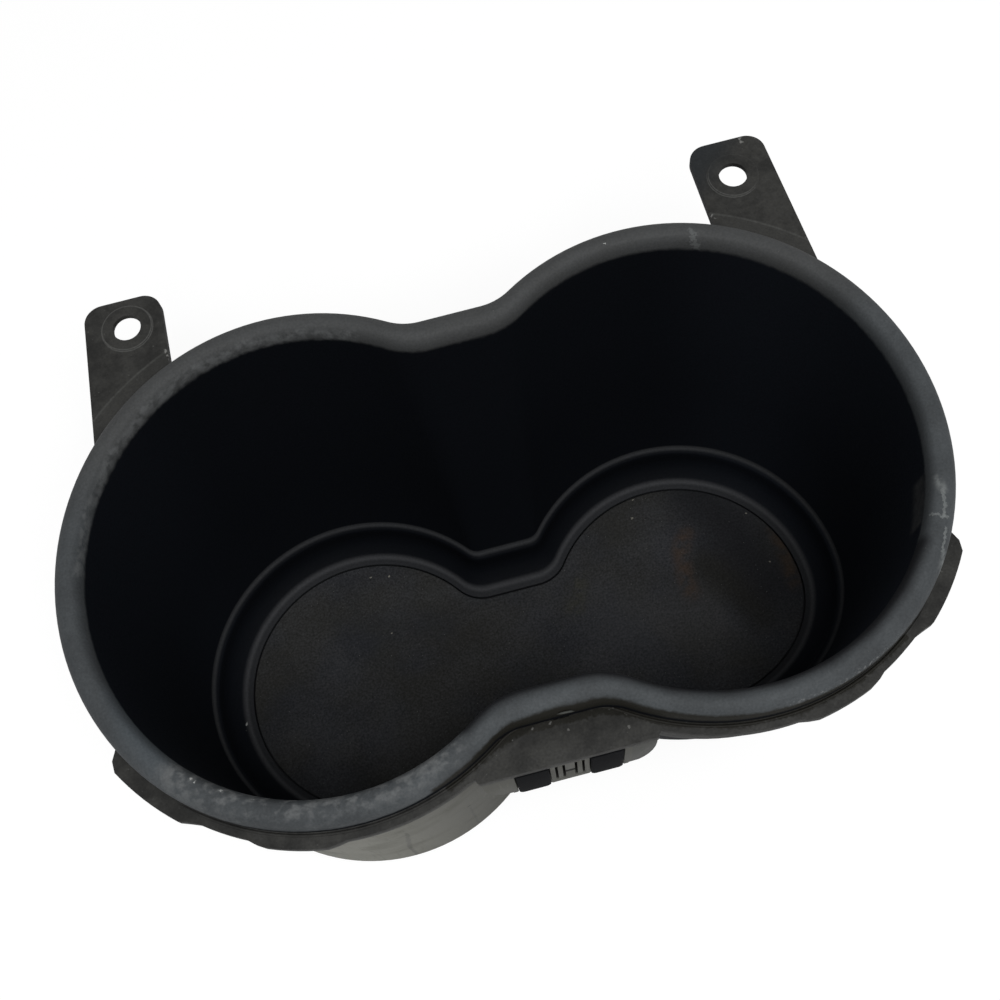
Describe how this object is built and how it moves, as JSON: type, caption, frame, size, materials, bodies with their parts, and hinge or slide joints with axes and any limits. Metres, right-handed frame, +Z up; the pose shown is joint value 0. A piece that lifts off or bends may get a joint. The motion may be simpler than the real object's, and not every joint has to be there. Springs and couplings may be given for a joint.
{
  "type": "twin cup holder insert",
  "caption": "Moulded insert for a car centre console with two drafted round cups joined at a waist, a rolled rim, a loose floor mat and screw tabs at the back.",
  "frame": {"origin": "on the underside of the liner's foot, midway between the centres of the two cup floors", "axes": "+X to the right cup, +Y to the screw tabs at the back, +Z up out of the cups"},
  "size_m": [0.173, 0.125, 0.079],
  "materials": {
    "liner_plastic": "fine grained satin, blue-black",
    "mat_rubber": "grained matt black with dust and brown stains",
    "carrier_plastic": "matt olive black",
    "housing_plastic": "bare pale grey moulding, scratched",
    "stop_rubber": "plain black"
  },
  "bodies": {
    "root": {"liner": "liner_plastic", "floor_mat": "mat_rubber", "carrier_frame": "carrier_plastic", "lower_housing": "housing_plastic", "left_bump_stop": "stop_rubber", "right_bump_stop": "stop_rubber"}
  },
  "joints": []
}
